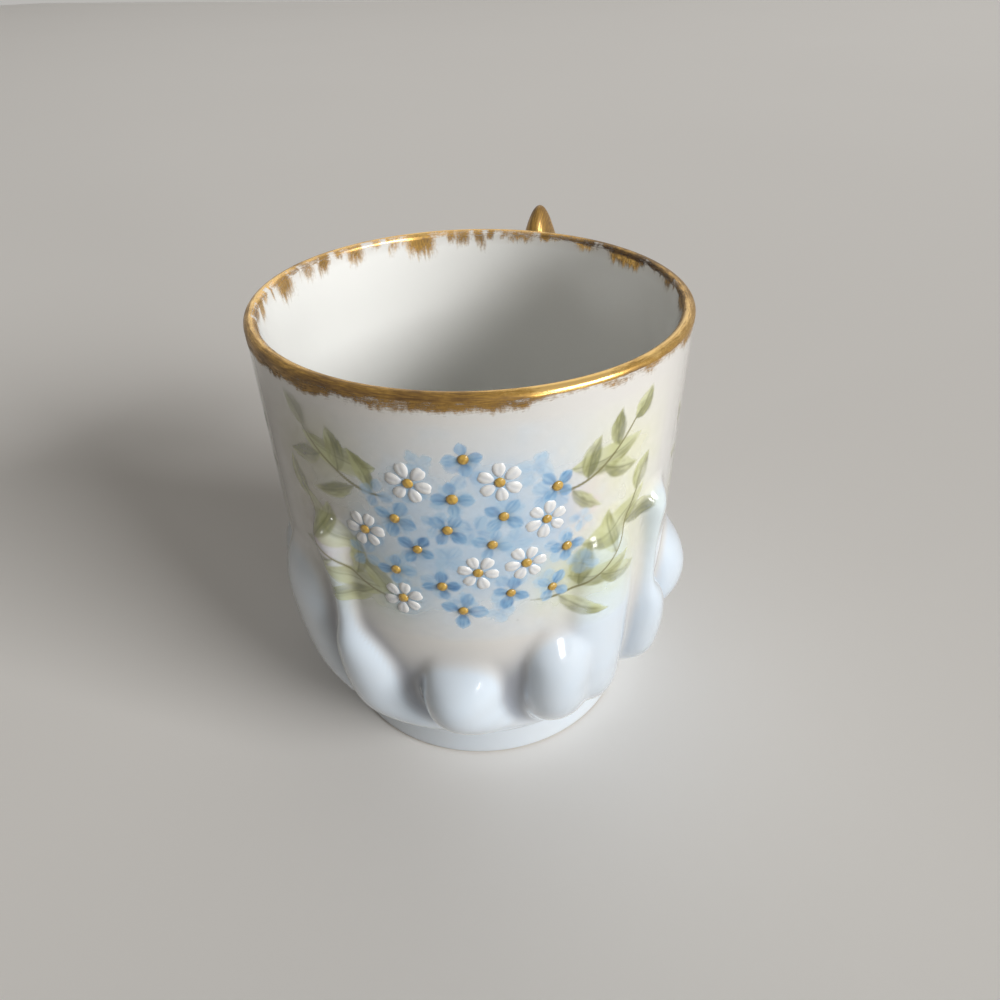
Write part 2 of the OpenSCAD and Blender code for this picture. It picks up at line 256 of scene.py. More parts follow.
def places(piece):
    flat = np.empty(3 * len(piece.data.vertices))
    piece.data.vertices.foreach_get("co", flat)
    return flat.reshape(-1, 3)


def setPlaces(piece, points):
    piece.data.vertices.foreach_set("co", np.ascontiguousarray(points, np.float32).ravel())
    piece.data.update()


def setValues(piece, **named):
    for name, values in named.items():
        attribute = piece.data.attributes.new(name, "FLOAT", "POINT")
        attribute.data.foreach_set("value", np.ascontiguousarray(values, np.float32))


def setColours(piece, name, colours):
    attribute = piece.data.attributes.new(name, "FLOAT_COLOR", "POINT")
    full = np.ones((len(colours), 4), np.float32)
    full[:, :3] = colours
    attribute.data.foreach_set("color", full.ravel())


def addNew(name, operator, **settings):
    clearSelection()
    operator(**settings)
    piece = bpy.context.object
    piece.name = name
    return piece


# A flat grid to be rolled up: returns it with each vertex's share across and along
def gridSheet(name, across, along):
    cells = {"x_subdivisions": across, "y_subdivisions": along}
    piece = addNew(name, bpy.ops.mesh.primitive_grid_add, size=1, **cells)
    flat = places(piece)
    return piece, flat[:, 0] + 0.5, flat[:, 1] + 0.5


def startEdit(selected):
    bpy.ops.object.mode_set(mode="EDIT")
    bpy.ops.mesh.select_mode(type="VERT")
    bpy.ops.mesh.select_all(action=selected)


def endEdit():
    bpy.ops.object.mode_set(mode="OBJECT")


def weld(piece):
    pick(piece)
    startEdit("SELECT")
    bpy.ops.mesh.remove_doubles(threshold=weldGap)
    bpy.ops.mesh.dissolve_degenerate(threshold=weldGap)
    bpy.ops.mesh.normals_make_consistent(inside=False)
    endEdit()
    bpy.ops.object.shade_smooth()


# Cuts away the vertices of a film that carry no paint. Its grid already faces outwards
def trimFilm(piece, empty):
    pick(piece)
    startEdit("DESELECT")
    endEdit()
    piece.data.vertices.foreach_set("select", empty)
    bpy.ops.object.mode_set(mode="EDIT")
    bpy.ops.mesh.delete(type="VERT")
    bpy.ops.mesh.select_all(action="SELECT")
    bpy.ops.mesh.remove_doubles(threshold=weldGap)
    endEdit()
    bpy.ops.object.shade_smooth()
    piece.visible_shadow = False  # light passes through it to the glaze


def settle(piece, finish, slot, *nodes):
    piece.data.name = piece.name
    piece.data.materials.clear()
    piece.data.materials.append(finish)
    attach(piece, "root")
    if nodes:
        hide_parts(*nodes)
    print(piece.name, len(piece.data.polygons), "faces")


# Gives a film of gold its values, trims it and makes it a thin skin
def gild(piece, size, cover, tone, within, finish, node):
    setValues(piece, cover=cover, tone=tone, within=within)
    trimFilm(piece, cover < size["faint"])
    skin = piece.modifiers.new("skin", "SOLIDIFY")
    skin.thickness = size["goldT"]
    skin.offset = -1
    bpy.ops.object.modifier_apply(modifier=skin.name)
    settle(piece, finish, "gilding", node)


# Patchy values from 0 to 1 over flat places, the same on every run
def patchy(x, y, cell, seed):
    lattice = np.random.default_rng(seed).random((patchCells, patchCells))
    column, row = x / cell, y / cell
    c0, r0 = np.floor(column).astype(int), np.floor(row).astype(int)
    return between(lattice, r0, c0, smooth(row - r0), smooth(column - c0))


# Finishes
def screen(red, green, blue):
    shares = [value / 255 for value in (red, green, blue)]
    return tuple(s / 12.92 if s < 0.04045 else ((s + 0.055) / 1.055) ** 2.4 for s in shares)


def paint(red, green, blue):
    return (*screen(red, green, blue), 1)


class Wire:
    def __init__(self, finish, socket):
        self.finish = finish
        self.socket = socket

    def maths(self, operation, first, second):
        return self.finish.node("ShaderNodeMath", {"operation": operation}, {0: first, 1: second})

    def __add__(self, other):
        return self.maths("ADD", self, other)

    def __radd__(self, other):
        return self.maths("ADD", other, self)

    def __sub__(self, other):
        return self.maths("SUBTRACT", self, other)

    def __rsub__(self, other):
        return self.maths("SUBTRACT", other, self)

    def __mul__(self, other):
        return self.maths("MULTIPLY", self, other)

    def __rmul__(self, other):
        return self.maths("MULTIPLY", other, self)


class Finish:
    def __init__(self, owner):
        owner.use_nodes = True
        self.owner = owner
        self.tree = owner.node_tree
        self.tree.nodes.clear()

    def node(self, kind, settings, inputs, output=0):
        made = self.tree.nodes.new(kind)
        for key, value in settings.items():
            if key == "stops":
                self.setStops(made.color_ramp, value)
            else:
                setattr(made, key, value)
        for key, value in inputs.items():
            if isinstance(value, Wire):
                self.tree.links.new(value.socket, made.inputs[key])
            else:
                made.inputs[key].default_value = value
        return Wire(self, made.outputs[output]) if made.outputs else None

    def setStops(self, ramp, stops):
        while len(ramp.elements) < len(stops):
            ramp.elements.new(0.5)
        for element, (position, colour) in zip(ramp.elements, stops):
            element.position = position
            element.color = colour

    def objectPlace(self):
        return self.node("ShaderNodeTexCoord", {}, {}, "Object")

    def value(self, name, output="Fac"):
        return self.node("ShaderNodeAttribute", {"attribute_name": name}, {}, output)

    def noise(self, place, scale, detail=2.0):
        inputs = {"Vector": place, "Scale": scale, "Detail": detail}
        return self.node("ShaderNodeTexNoise", {}, inputs)

    def blend(self, share, first, second):
        return self.node("ShaderNodeMix", {"data_type": "RGBA"}, {0: share, 6: first, 7: second}, 2)

    def step(self, value, low, high):
        inputs = {"Value": value, "From Min": low, "From Max": high}
        return self.node("ShaderNodeMapRange", {"interpolation_type": "SMOOTHSTEP"}, inputs)

    def ramp(self, value, stops):
        return self.node("ShaderNodeValToRGB", {"stops": stops}, {0: value})

    def bump(self, height, strength, distance):
        inputs = {"Strength": strength, "Distance": distance, "Height": height}
        return self.node("ShaderNodeBump", {}, inputs)

    def surface(self, **inputs):
        named = {key.replace("_", " "): value for key, value in inputs.items()}
        shader = self.node("ShaderNodeBsdfPrincipled", {}, named)
        self.node("ShaderNodeOutputMaterial", {}, {"Surface": shader})
        return self.owner

    # 1 for what the camera sees, straight or in a gloss, and 0 for light that falls on the cup
    def shown(self):
        rays = ("Is Camera Ray", "Is Glossy Ray", "Is Transmission Ray")
        camera, glossy, through = (self.node("ShaderNodeLightPath", {}, {}, ray) for ray in rays)
        return camera + glossy + through


def newFinish(name):
    return Finish(bpy.data.materials.new(name))


glaze = {
    "roughness": 0.16,
    "unevenGloss": 0.06,
    "coatRoughness": 0.035,
    "ripple": 0.05,
    "rippleDepth": 0.4 * mm,
    # cells to a metre of the noise that each change over the glaze follows
    "cloudScale": 40.0,
    "tintScale": 160.0,
    "glossScale": 300.0,
    "waveScale": 130.0,
    "fineWaveScale": 900.0,
    "speckScale": 95.0,
    "speckPlaceScale": 70.0,
    "warm": paint(236, 232, 226),
    "cool": paint(229, 230, 229),
    # the inside of the cup: the same glaze painted lighter, as painted light for the brighter inside
    "lining": paint(245, 246, 244),
    "blue": paint(221, 234, 247),
    # pooled glaze in the dips, dark also as painted shade
    "pooledShade": paint(118, 127, 145),
    "speck": paint(120, 108, 96),
    "bareClay": paint(214, 205, 192),
}


# Clear glaze over white porcelain. A tinted one also reads the body's tint, its pooled glaze that is
# darkened as painted shade in the dips, and its lining, painted lighter as painted light inside the cup
def porcelain(name, tinted):
    f = newFinish(name)
    place = f.objectPlace()
    colour = f.blend(f.noise(place, glaze["cloudScale"]), glaze["warm"], glaze["cool"])
    gloss = 1.0
    if tinted:
        colour = f.blend(f.value("lining"), colour, glaze["lining"])
        patches = 0.75 + f.noise(place, glaze["tintScale"]) * 0.4
        colour = f.blend(f.value("tint") * patches, colour, glaze["blue"])
        colour = f.blend(f.value("pool"), colour, glaze["pooledShade"])
        bare = f.value("bare")
        colour = f.blend(bare, colour, glaze["bareClay"])
        gloss = 1 - bare
    cells = {"Vector": place, "Scale": glaze["speckScale"], "Randomness": 1.0}
    spot = f.step(f.node("ShaderNodeTexVoronoi", {}, cells, "Distance"), 0.022, 0.012)
    chance = f.step(f.noise(place, glaze["speckPlaceScale"]), 0.60, 0.64)
    colour = f.blend(spot * chance * 0.8, colour, glaze["speck"])
    rough = glaze["roughness"] + f.noise(place, glaze["glossScale"]) * glaze["unevenGloss"]
    wave = f.noise(place, glaze["waveScale"]) + f.noise(place, glaze["fineWaveScale"]) * 0.08
    normal = f.bump(wave, glaze["ripple"], glaze["rippleDepth"])
    return f.surface(Base_Color=colour, Roughness=rough, Normal=normal, Coat_Weight=gloss,
                     Coat_Roughness=glaze["coatRoughness"])


gold = {
    "stops": [
        (0.0, paint(98, 70, 36)),
        (0.35, paint(144, 110, 54)),
        (0.65, paint(192, 151, 78)),
        (1.0, paint(244, 204, 128)),
    ],
    "ragged": 1.1,  # how far single hairs of the brush break the edge of the gold
    "streaked": 1.1,  # and how far they change its tone
    "grainScale": 2600.0,
}


# Gold laid on with a dry brush: tone runs from thin brown to full gold, cover from bare to laid.
# Hairs give the cells of the brush's hairs over the piece's own UV map, once along and once across it
def gilding(name, hairsAlong, hairsAcross):
    f = newFinish(name)
    sheet = f.node("ShaderNodeUVMap", {}, {})
    along, across = (
        f.noise(f.node("ShaderNodeMapping", {}, {"Vector": sheet, "Scale": (*hairs, 1.0)}), 1.0, 3.0)
        for hairs in (hairsAlong, hairsAcross)
    )
    turned = f.value("within")
    streak = along * (1 - turned) + across * turned
    place = f.objectPlace()
    grain = f.noise(place, gold["grainScale"], 3.0)
    tone = f.value("tone") + (streak - 0.5) * gold["streaked"]
    colour = f.ramp(tone + (grain - 0.5) * 0.25, gold["stops"])
    ragged = gold["ragged"] * (1 - turned * 0.45)
    laid = f.value("cover") + ((streak - 0.5) + (grain - 0.5) * 0.6) * ragged
    metal = 0.2 + f.step(tone, 0.2, 0.8) * 0.6
    rough = 0.42 - f.step(tone, 0.2, 0.9) * 0.24 + grain * 0.08
    normal = f.bump(streak + grain * 0.3, 0.2, 0.05 * mm)
    return f.surface(Base_Color=colour, Metallic=metal, Roughness=rough, Normal=normal,
                     Alpha=f.step(laid, 0.15, 1.15))


# Flat enamel colours, brushed on and fired under the gloss of the glaze
def flatEnamel(name):
    f = newFinish(name)
    place = f.objectPlace()
    painted = f.value("paint", "Color")
    rough = glaze["roughness"] + f.noise(place, 1200.0) * 0.1
    normal = f.bump(f.noise(place, glaze["waveScale"]), glaze["ripple"], glaze["rippleDepth"])
    return f.surface(Base_Color=painted, Roughness=rough, Normal=normal, Coat_Weight=1.0,
                     Coat_Roughness=glaze["coatRoughness"], Alpha=f.value("cover"))


enamel = {
    "grainScale": 1500.0,
    "grain": 0.3,
    "grainDepth": 0.12 * mm,
    "roughness": 0.22,
    "coat": 0.7,
    "coatRoughness": 0.06,
}


# Thick enamel dabs, darker where their own shade value says so
def raisedEnamel(name, light, deep, shaded):
    f = newFinish(name)
    grain = f.noise(f.objectPlace(), enamel["grainScale"], 3.0)
    colour = f.blend(f.value("shade"), f.blend(grain, light, deep), shaded)
    normal = f.bump(grain, enamel["grain"], enamel["grainDepth"])
    return f.surface(Base_Color=colour, Roughness=enamel["roughness"] + grain * 0.14, Normal=normal,
                     Coat_Weight=enamel["coat"], Coat_Roughness=enamel["coatRoughness"])


bodyFinish = porcelain("glazedBody", True)
handleFinish = porcelain("glazedHandle", False)
slipFinish = porcelain("glazedSlip", False)
rimGoldFinish = gilding("rimGold", (120.0, 80.0), (620.0, 10.0))
handleGoldFinish = gilding("handleGold", (70.0, 40.0), (70.0, 40.0))
paintFinish = flatEnamel("brushedEnamel")
whiteFinish = raisedEnamel("whiteEnamel", paint(244, 243, 240), paint(232, 234, 236), paint(178, 194, 216))
yellowFinish = raisedEnamel("yellowEnamel", paint(216, 180, 84), paint(186, 142, 52), paint(104, 84, 44))
print("finishes made")


# Cup body
cupSet = {
    "columns": 392,
    "wallT": 2.6 * mm,
    "lipT": 1.8 * mm,
    "lipTaperH": 14 * mm,
    "floorZ": 6.6 * mm,
    "bowlR": 8 * mm,
    "ringW": 3 * mm,
    "recess": 3.4 * mm,
    "bevel": 0.5 * mm,
    "edge": 0.08 * mm,  # rows this close keep an edge crisp under smooth shading
    "reliefRows": 112,
    "wallRows": 34,
    "lipRows": 14,
    "insideRows": 38,
    "bowlRows": 12,
    "bareZ": 0.35 * mm,
    "tintTop": 21,  # the blue of the foot fades out at this height above it, in millimetres
    "tintFade": 12,
    "tintRise": 1.3 * mm,  # lobes that rise this far are blue all over
    "poolShadeDepth": 1.3 * mm,
    "poolShadeShare": 0.75,
    "litSideTurn": -75,  # the painted shade in the dips is lighter on this side, which the key lamp lights
    "litSideHalf": 75,
    "litSideFade": 40,
}
lipR = cupSet["lipT"] / 2


def insideRadius(z):
    taper = cupSet["lipTaperH"]
    t = np.clip((z - (cupH - taper)) / (taper - lipR), 0, 1)
    return grooveRadius(z) - cupSet["wallT"] + (cupSet["wallT"] - cupSet["lipT"]) * t


# Lip from outside, over the top, to the inside: angles from 0 to 180
def lipArc(turn, grow=0):
    reach = lipR + grow
    return rimR - lipR + reach * np.cos(turn), cupH - lipR + reach * np.sin(turn)


# Rows of the body from the middle underneath, round the foot, up the wall and down inside:
# radius, height, and whether the row lies inside
def cupRows():
    size = cupSet
    footR, footH, edge = relief["footR"], relief["footH"], size["edge"]
    ringIn = footR - size["ringW"]
    recessR = ringIn - size["recess"] / 2
    under = [(0, size["recess"]), (8 * mm, size["recess"]), (16 * mm, size["recess"]),
             (recessR - 1.5 * mm, size["recess"]), (recessR - 0.5 * mm, size["recess"] - edge),
             (recessR + edge, size["recess"] - 3 * edge), (ringIn - 3 * edge, 5 * edge),
             (ringIn, edge), (ringIn + 2 * edge, 0), (footR - size["bevel"] - edge, 0)]
    corner = [(footR - size["bevel"] * (1 - math.sin(a)), size["bevel"] * (1 - math.cos(a)))
              for a in np.radians([0, 22, 45, 68, 90])]
    band = [(footR, footH * share) for share in (0.2, 0.4, 0.6, 0.8, 0.95, 0.995)]
    rows = [(*row, 0) for row in under + corner + band]
    share = np.linspace(0, 1, size["reliefRows"]) ** 1.15
    top = footH + relief["height"] * mm
    rows += [(0, z, 0) for z in footH + edge + (top - footH - edge) * share]
    rows += [(rimR, z, 0) for z in np.linspace(top, cupH - lipR, size["wallRows"])[1:-1]]
    rows += [(*lipArc(turn), 0) for turn in np.linspace(0, math.pi, size["lipRows"])]
    bowlZ = size["floorZ"] + size["bowlR"]
    bowlX = float(insideRadius(bowlZ)) - size["bowlR"]
    insideZ = np.linspace(cupH - lipR, bowlZ, size["insideRows"])[1:]
    rows += [(float(insideRadius(z)), z, 1) for z in insideZ]
    rows += [(bowlX + size["bowlR"] * math.cos(a), bowlZ - size["bowlR"] * math.sin(a), 1)
             for a in np.linspace(0, math.pi / 2, size["bowlRows"])[1:]]
    rows += [(bowlX * share, size["floorZ"], 1) for share in (0.8, 0.6, 0.4, 0.2, 0.1, 0)]
    return np.array(rows)


def buildCupBody():
    rows = cupRows()
    piece, u, v = gridSheet("cupBody", cupSet["columns"], len(rows) - 1)
    row = np.rint(v * (len(rows) - 1)).astype(int)
    radius, z, inside = rows[row].T
    label = 360 * u
    outer = inside == 0
    lobed = outer & (radius == 0) & (z > relief["footH"])
    swirl = outer * swirlAt(z)
    rise = np.where(lobed, fieldAt(riseField, label, z), 0)
    radius = np.where(lobed, grooveRadius(z) + rise, radius)
    setPlaces(piece, roundAxis(radius, label + relief["turn"] + swirl, z))
    height = (z - relief["footH"]) / mm
    low = 1 - smooth((height - cupSet["tintTop"] + cupSet["tintFade"]) / cupSet["tintFade"])
    tint = np.maximum(smooth(rise / cupSet["tintRise"]), 0.8 * low)
    # The dips hold pooled glaze and painted shade, the shade lighter on the side that the key lamp lights
    pooledShade = np.where(lobed, fieldAt(poolShadeField, label, z), 0)
    aside = np.abs(wrapped(label + relief["turn"] + swirl - cupSet["litSideTurn"], 360))
    thin = 1 - 0.65 * smooth((cupSet["litSideHalf"] - aside) / cupSet["litSideFade"])
    pool = cupSet["poolShadeShare"] * thin * smooth(pooledShade / cupSet["poolShadeDepth"])
    bare = 1 - smooth((z - cupSet["bareZ"] / 2) / cupSet["bareZ"])
    setValues(piece, tint=outer * tint, pool=pool, lining=inside, bare=outer * bare)
    weld(piece)
    settle(piece, bodyFinish, "porcelain_body", "cup_body")


buildCupBody()


# Handle and its gilding, swept along the same spine
handleSet = {
    "reach": 21.5 * mm,
    "bowRise": 6.6 * mm,
    "bowShare": 0.25,
    "halfW": 3.1 * mm,
    "halfT": 2.4 * mm,
    "flare": 1.2 * mm,
    "flareShare": 14 / 63,
    "spurH": 5.6 * mm,
    "spurHalf": 2.6 * mm,
    "spurShare": 15 / 63,
    # shares of the reach and of the height between the roots
    "spine": [[-0.12, 0.98], [0.1, 1.09], [0.36, 1.25], [0.66, 1.2], [0.91, 0.98], [1, 0.68],
              [0.88, 0.36], [0.6, 0.12], [0.28, 0.03], [-0.12, -0.02]],
    "sides": 40,
    "rings": 220,
    "goldFrom": 6.5 / 63,
    "goldTo": 56.5 / 63,
    "goldColumns": 64,
    "goldRings": 330,
    "goldLap": 0.16,  # how far the brush ran past the outer half, as a share of the girth
    "goldT": 0.04 * mm,
    "goldL": 70,  # the gold's length and girth in millimetres, for its patches
    "goldGirth": 12,
    "lift": 0.06 * mm,
    "faint": 0.03,  # less cover than this is left off
    "spineStep": 0.004,  # share of the spine over which its direction is taken
}


def spineAt(share):
    gap = rootTopZ - rootLowZ
    bow = handleSet["bowShare"]
    knots = [(rimR + handleSet["reach"] * s,
              rootLowZ + h * gap + max(0, h - 1) / bow * (handleSet["bowRise"] - bow * gap))
             for s, h in handleSet["spine"]]
    knots = np.array([knots[0], *knots, knots[-1]])
    place = np.clip(share, 0, 1) * (len(knots) - 3)
    i = np.minimum(place.astype(int), len(knots) - 4)
    t = (place - i)[:, None]
    p0, p1, p2, p3 = (knots[i + k] for k in range(4))
    bend = 2 * p1 + (p2 - p0) * t + (2 * p0 - 5 * p1 + 4 * p2 - p3) * t**2
    return (bend + (3 * p1 - p0 - 3 * p2 + p3) * t**3) / 2


# Point of the handle's skin at a share of the spine and an angle round it, offset outwards by grow
def handleSkin(share, turn, grow):
    here = spineAt(share)
    ahead = spineAt(share + handleSet["spineStep"]) - spineAt(share - handleSet["spineStep"])
    ahead /= np.linalg.norm(ahead, axis=1)[:, None]
    outward = np.stack([-ahead[:, 1], ahead[:, 0]], axis=1)
    toEnd = np.minimum(share, 1 - share)
    flare = handleSet["flare"] * np.maximum(0, 1 - toEnd / handleSet["flareShare"]) ** 2
    spurFoot = spineAt(np.array([handleSet["spurShare"]]))
    away = np.linalg.norm(here - spurFoot, axis=1)
    spur = handleSet["spurH"] * np.exp(-((away / handleSet["spurHalf"]) ** 2))
    across = (handleSet["halfW"] + flare + grow) * np.cos(turn)
    out = (handleSet["halfT"] + flare + grow) * np.sin(turn) + spur * np.maximum(0, np.sin(turn)) ** 2
    skin = here + out[:, None] * outward
    return np.stack([skin[:, 0], across, skin[:, 1]], axis=1)


# The roots stop on the wall
def stopAtWall(points, clear):
    radius = np.hypot(points[:, 0], points[:, 1])
    wall = np.sqrt(np.maximum((rimR + clear) ** 2 - points[:, 1] ** 2, 0))
    points[:, 0] = np.where(radius < rimR + clear, wall, points[:, 0])
    return points


def buildHandle():
    piece, u, v = gridSheet("cupHandle", handleSet["sides"], handleSet["rings"])
    setPlaces(piece, stopAtWall(handleSkin(v, 2 * math.pi * u, 0), 0.01 * mm))
    weld(piece)
    settle(piece, handleFinish, "porcelain_handle", "handle")


def buildHandleGilding():
    size = handleSet
    piece, u, v = gridSheet("handleGilding", size["goldColumns"], size["goldRings"])
    share = size["goldFrom"] + (size["goldTo"] - size["goldFrom"]) * v
    lap = size["goldLap"]
    turn = math.pi * (u * (1 + 2 * lap) - lap)
    setPlaces(piece, handleSkin(share, turn, size["lift"]))
    along, side = v * size["goldL"], u * size["goldGirth"]
    ragged = patchy(along, side, 1.1, 31) * 0.6 + patchy(along, side, 0.35, 32) * 0.4
    edge = np.minimum(u, 1 - u) / lap * 0.5
    ends = np.minimum(v, 1 - v) * 22
    laid = np.minimum(edge, ends) + (ragged - 0.5) * 0.5
    cover = 1.8 * smooth((laid - 0.08) / 0.9)
    # The handle's gold is toned darker than the lip's: painted shade on the handle
    tone = 0.22 + 0.2 * smooth(laid / 1.2) + 0.4 * (patchy(along, side, 3, 33) - 0.5)
    gild(piece, size, cover, tone, 0 * u, handleGoldFinish, "handle_gilding")


buildHandle()
buildHandleGilding()


# Slip beads round the handle's roots
slipSet = {
    "halfW": 4.15 * mm,
    "halfH": 3.45 * mm,
    "bead": 0.62 * mm,
    "stand": 0.75,  # how far the bead stands out, as a share of its radius
    "around": 96,
    "girth": 20,
}


def buildSlip(name, rootZ, node):
    piece = addNew(name, bpy.ops.mesh.primitive_torus_add, major_segments=slipSet["around"],
                   minor_segments=slipSet["girth"], major_radius=1, minor_radius=0.5)
    flat = places(piece)
    turn = np.arctan2(flat[:, 1], flat[:, 0])
    off = (np.hypot(flat[:, 0], flat[:, 1]) - 1) * 2 * slipSet["bead"]
    uneven = 1 + 0.12 * np.sin(3 * turn + rootZ / mm) + 0.08 * np.sin(7 * turn)
    y = (slipSet["halfW"] + off) * np.cos(turn)
    z = rootZ + (slipSet["halfH"] + off) * np.sin(turn)
    stand = np.maximum(flat[:, 2], 0) * 2 * slipSet["bead"] * slipSet["stand"] * uneven
    setPlaces(piece, roundAxis(rimR + 0.01 * mm + stand, np.degrees(y / rimR), z))
    weld(piece)
    settle(piece, slipFinish, "handle_slip", node)


buildSlip("upperHandleSlip", rootTopZ, "upper_handle_slip")
buildSlip("lowerHandleSlip", rootLowZ, "lower_handle_slip")


# Turn of the posy round the cup, in degrees, from which the tables of the rim count too
posyTurn = -162


# Rim gilding: a full line over the lip, a ragged band outside and broken brush marks inside
rimSet = {
    "columns": 900,
    "outRows": 20,
    "lipRows": 12,
    "inRows": 26,
    "outH": 3.4 * mm,
    "inH": 6.6 * mm,
    "lift": 0.05 * mm,
    "goldT": 0.03 * mm,
    "faint": 0.02,
    "crownTurn": 1.6,  # past this turn over the lip the marks of the inside begin
    "wearTurn": 1.3,  # and past this one the gold of the lip is worn
    # turn from the posy in degrees, depth of the outside band in millimetres
    "band": [[-180, 1.4], [-120, 1.8], [-75, 2.6], [-45, 3.0], [-15, 3.0], [8, 2.7], [25, 2.2],
             [45, 2.6], [80, 2.5], [130, 1.5], [180, 1.4]],
    # the same turn, how full the brush was there, and how worn the inner half of the lip is
    "dry": [[-180, 0.8], [-60, 1], [-10, 0.95], [15, 0.85], [35, 0.65], [80, 0.7], [180, 0.8]],
    "worn": [[-180, 1], [-150, 0.9], [-75, 0.9], [-58, 0.8], [-40, 0.45], [-22, 0], [45, 0], [62, 0.3],
             [80, 0.6], [105, 0.75], [145, 0.85], [180, 1]],
    # the same turn, how much brighter or duller the gold of the lip is painted: partly rubbed wear, partly
    # painted reflection
    "sheen": [[-180, 0], [-160, 0.15], [-140, -0.05], [-120, -0.4], [-100, -0.15], [-75, -0.25],
              [-50, -0.4], [-22, -0.5], [0, -0.55], [10, -0.15], [20, 0.3], [32, -0.05], [60, -0.25],
              [85, -0.4], [110, -0.7], [140, -0.65], [160, -0.3], [180, 0]],
    "seed": 7,
    # broad patches and single strokes inside the lip: how many, half widths in degrees, reaches down
    # in millimetres, loads of the brush, softness of the sides
    "strokes": [(30, (3, 8), (4.2, 6.6), (0.55, 1), 0.8), (90, (0.8, 3), (1.8, 4.2), (0.25, 0.85), 0.8)],
    # the same turn, how far down the gold is brushed inside there, as a share
    "within": [[-180, 0.8], [-160, 0.9], [-145, 0.6], [-125, 1], [-100, 1], [-75, 0.6], [-40, 0.4],
               [40, 0.4], [75, 0.5], [105, 0.65], [135, 0.6], [155, 0.35], [180, 0.8]],
}


# One brush mark inside the lip: half its width in degrees, how far down its hairs reach in millimetres
def brushMark(angle, drop, middle, half, reach, edge, lean):
    away = np.abs(wrapped(angle + lean * drop - middle, 360)) / half
    hairs = 0.75 + 0.35 * patchy(angle * 1.7, drop * 0.15, 0.8, int(10 * (middle % 360)))
    return smooth((1 - away) / edge) * np.clip((reach * hairs - drop) / (0.6 * reach), 0, 1)


# How strongly broad patches and single strokes cover the glaze inside the lip
def brushMarks(angle, drop):
    chance = np.random.default_rng(rimSet["seed"])
    laid = np.zeros(len(angle))
    for count, halves, reaches, loads, edge in rimSet["strokes"]:
        for k in range(count):
            middle = (k + chance.uniform(-0.5, 0.5)) * 360 / count
            share = float(alongRows(rimSet["within"], 1, wrapped(middle - posyTurn, 360)))
            mark = brushMark(angle, drop, middle, chance.uniform(*halves), chance.uniform(*reaches) * share,
                             edge, chance.uniform(-0.8, 0.8))
            laid = np.maximum(laid, mark * chance.uniform(*loads))
    return laid


def buildRimGilding():
    size = rimSet
    low = np.linspace(cupH - size["outH"], cupH - lipR, size["outRows"])[:-1]
    inside = np.linspace(cupH - lipR, cupH - size["inH"], size["inRows"])[1:]
    rows = [(rimR + size["lift"], z, 0) for z in low]
    rows += [(*lipArc(turn, size["lift"]), turn) for turn in np.linspace(0, math.pi, size["lipRows"])]
    rows += [(float(insideRadius(z)) - size["lift"], z, math.pi) for z in inside]
    rows = np.array(rows)
    piece, u, v = gridSheet("rimGilding", size["columns"], len(rows) - 1)
    radius, z, turn = rows[np.rint(v * (len(rows) - 1)).astype(int)].T
    angle = 360 * u
    setPlaces(piece, roundAxis(radius, angle, z))
    fromPosy = wrapped(angle - posyTurn, 360)
    x = np.radians(angle) * rimR / mm
    drop = (cupH - z) / mm
    within = turn > size["crownTurn"]
    band, dry, worn, sheen = (alongRows(size[key], 1, fromPosy) for key in ("band", "dry", "worn", "sheen"))
    outDepth = band + (patchy(x, 0 * x, 2.4, 14) - 0.5) * 0.9 + (patchy(x, 0 * x, 0.5, 15) - 0.5) * 0.5
    patches = patchy(x * 0.5, drop, 0.9, 13)
    outLaid = smooth((outDepth - drop) / 1.7) * (0.5 + 0.75 * patches) * dry
    onLip = smooth((1.0 - drop) / 0.5)
    bitten = 0.7 + 0.3 * smooth((0.6 - patchy(x, turn, 1.9, 17)) / 0.3)
    kept = 1 - worn * bitten * smooth((turn - size["wearTurn"]) / 0.7)
    cover = np.maximum(np.where(within, brushMarks(angle, drop), outLaid), 1.8 * onLip * kept)
    tone = 0.2 + 0.3 * (patchy(x, drop, 4, 16) - 0.4) + 0.2 * patches
    # A painted highlight: the gold is toned brighter along the top of the lip
    crownHighlight = np.exp(-((drop / 0.45) ** 2))
    tone = tone + 0.3 * onLip + 0.3 * crownHighlight + 0.24 * within
    tone = tone + (sheen - 0.35 * smooth((turn - 2) / 0.5)) * onLip
    gild(piece, size, cover, tone, within & (drop > 1), rimGoldFinish, "rim_gilding")


buildRimGilding()


# Painting: colours are laid over one another on the vertices of a thin film
def newCanvas(x, y):
    return {"x": x, "y": y, "rgb": np.ones((len(x), 3)), "cover": np.zeros(len(x))}


def lay(canvas, mask, colour):
    mask = np.clip(mask, 0, 1)
    under = canvas["cover"] * (1 - mask)
    total = np.maximum(mask + under, 1e-6)
    canvas["rgb"] = (np.asarray(colour) * mask[:, None] + canvas["rgb"] * under[:, None]) / total[:, None]
    canvas["cover"] = mask + under


# Soft cloud of colour with a patchy edge
def layWash(canvas, middle, spread, colour, strength, seed):
    x, y = canvas["x"], canvas["y"]
    away = ((x - middle[0]) / spread[0]) ** 2 + ((y - middle[1]) / spread[1]) ** 2
    patches = 0.45 + 0.9 * patchy(x, y, 3.5, seed) * patchy(x, y, 1.3, seed + 50)
    lay(canvas, strength * np.exp(-away) * np.clip(patches, 0, 1.2), colour)


# Colour of a tone from 0 to 1 between deep, middle and pale paint
def toned(tone, paints):
    return np.stack([np.interp(tone, (0, 0.5, 1), channel) for channel in zip(*paints)], axis=1)


petalPaint = screen(66, 124, 182), screen(120, 172, 216), screen(168, 205, 233)


